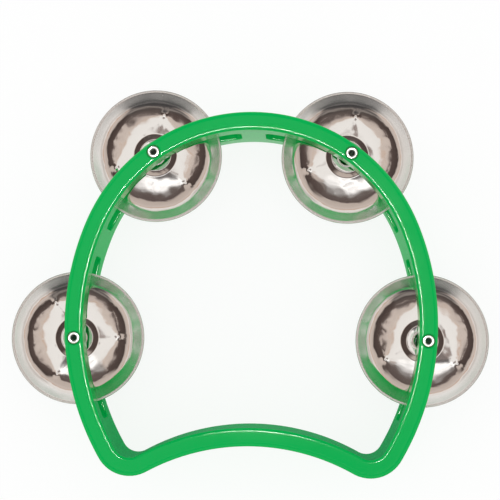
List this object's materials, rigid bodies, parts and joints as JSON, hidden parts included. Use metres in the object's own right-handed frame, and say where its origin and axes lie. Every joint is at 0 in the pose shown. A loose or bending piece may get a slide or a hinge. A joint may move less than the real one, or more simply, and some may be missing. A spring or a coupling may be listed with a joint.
{
  "type": "hand tambourine",
  "caption": "Cutaway hand tambourine: a plastic hoop with a bowed-in grip and pairs of dished metal jingles that rattle and spin on pins across slots in its wall.",
  "frame": {"origin": "below the middle of the bounding box, on the plane that the tambourine lies on, which is its rear face", "axes": "+Z along the hoop's axis, from the rear face to the front face; +Y from the grip to the crown; +X to the right, seen from the front"},
  "size_m": [0.187, 0.1503, 0.042],
  "materials": {
    "green_plastic": "bright green injection-moulded plastic, glossy, with a faint orange-peel skin and soft rounded edges",
    "plated_steel": "pressed steel sheet with bright nickel plating, faint smudges and fine handling scratches",
    "plated_pin": "nickel-plated tubular steel rivet with rolled ends"
  },
  "bodies": {
    "frame": {"frame": "green_plastic"},
    "upper_left_pin": {"upper_left_pin": "plated_pin"},
    "upper_left_rear_jingle": {"upper_left_rear_jingle": "plated_steel"},
    "upper_left_front_jingle": {"upper_left_front_jingle": "plated_steel"},
    "upper_right_pin": {"upper_right_pin": "plated_pin"},
    "upper_right_rear_jingle": {"upper_right_rear_jingle": "plated_steel"},
    "upper_right_front_jingle": {"upper_right_front_jingle": "plated_steel"},
    "lower_left_pin": {"lower_left_pin": "plated_pin"},
    "lower_left_rear_jingle": {"lower_left_rear_jingle": "plated_steel"},
    "lower_left_front_jingle": {"lower_left_front_jingle": "plated_steel"},
    "lower_right_pin": {"lower_right_pin": "plated_pin"},
    "lower_right_rear_jingle": {"lower_right_rear_jingle": "plated_steel"},
    "lower_right_front_jingle": {"lower_right_front_jingle": "plated_steel"}
  },
  "joints": [
    {"name": "upper_left_spin", "type": "hinge", "parent": "frame", "child": "upper_left_pin", "pos_m": [-0.03799, 0.04883, 0.021], "axis": [0, 0, 1], "continuous": true},
    {"name": "upper_left_rear_jingle_slide", "type": "slide", "parent": "upper_left_pin", "child": "upper_left_rear_jingle", "axis": [0, 0, 1], "range_m": [0, 0.00125]},
    {"name": "upper_left_front_jingle_slide", "type": "slide", "parent": "upper_left_rear_jingle", "child": "upper_left_front_jingle", "axis": [0, 0, 1], "range_m": [0, 0.00125]},
    {"name": "upper_right_spin", "type": "hinge", "parent": "frame", "child": "upper_right_pin", "pos_m": [0.03799, 0.04883, 0.021], "axis": [0, 0, 1], "continuous": true},
    {"name": "upper_right_rear_jingle_slide", "type": "slide", "parent": "upper_right_pin", "child": "upper_right_rear_jingle", "axis": [0, 0, 1], "range_m": [0, 0.00125]},
    {"name": "upper_right_front_jingle_slide", "type": "slide", "parent": "upper_right_rear_jingle", "child": "upper_right_front_jingle", "axis": [0, 0, 1], "range_m": [0, 0.00125]},
    {"name": "lower_left_spin", "type": "hinge", "parent": "frame", "child": "lower_left_pin", "pos_m": [-0.0675, -0.02262, 0.021], "axis": [0, 0, 1], "continuous": true},
    {"name": "lower_left_rear_jingle_slide", "type": "slide", "parent": "lower_left_pin", "child": "lower_left_rear_jingle", "axis": [0, 0, 1], "range_m": [0, 0.00125]},
    {"name": "lower_left_front_jingle_slide", "type": "slide", "parent": "lower_left_rear_jingle", "child": "lower_left_front_jingle", "axis": [0, 0, 1], "range_m": [0, 0.00125]},
    {"name": "lower_right_spin", "type": "hinge", "parent": "frame", "child": "lower_right_pin", "pos_m": [0.0675, -0.02262, 0.021], "axis": [0, 0, 1], "continuous": true},
    {"name": "lower_right_rear_jingle_slide", "type": "slide", "parent": "lower_right_pin", "child": "lower_right_rear_jingle", "axis": [0, 0, 1], "range_m": [0, 0.00125]},
    {"name": "lower_right_front_jingle_slide", "type": "slide", "parent": "lower_right_rear_jingle", "child": "lower_right_front_jingle", "axis": [0, 0, 1], "range_m": [0, 0.00125]}
  ]
}
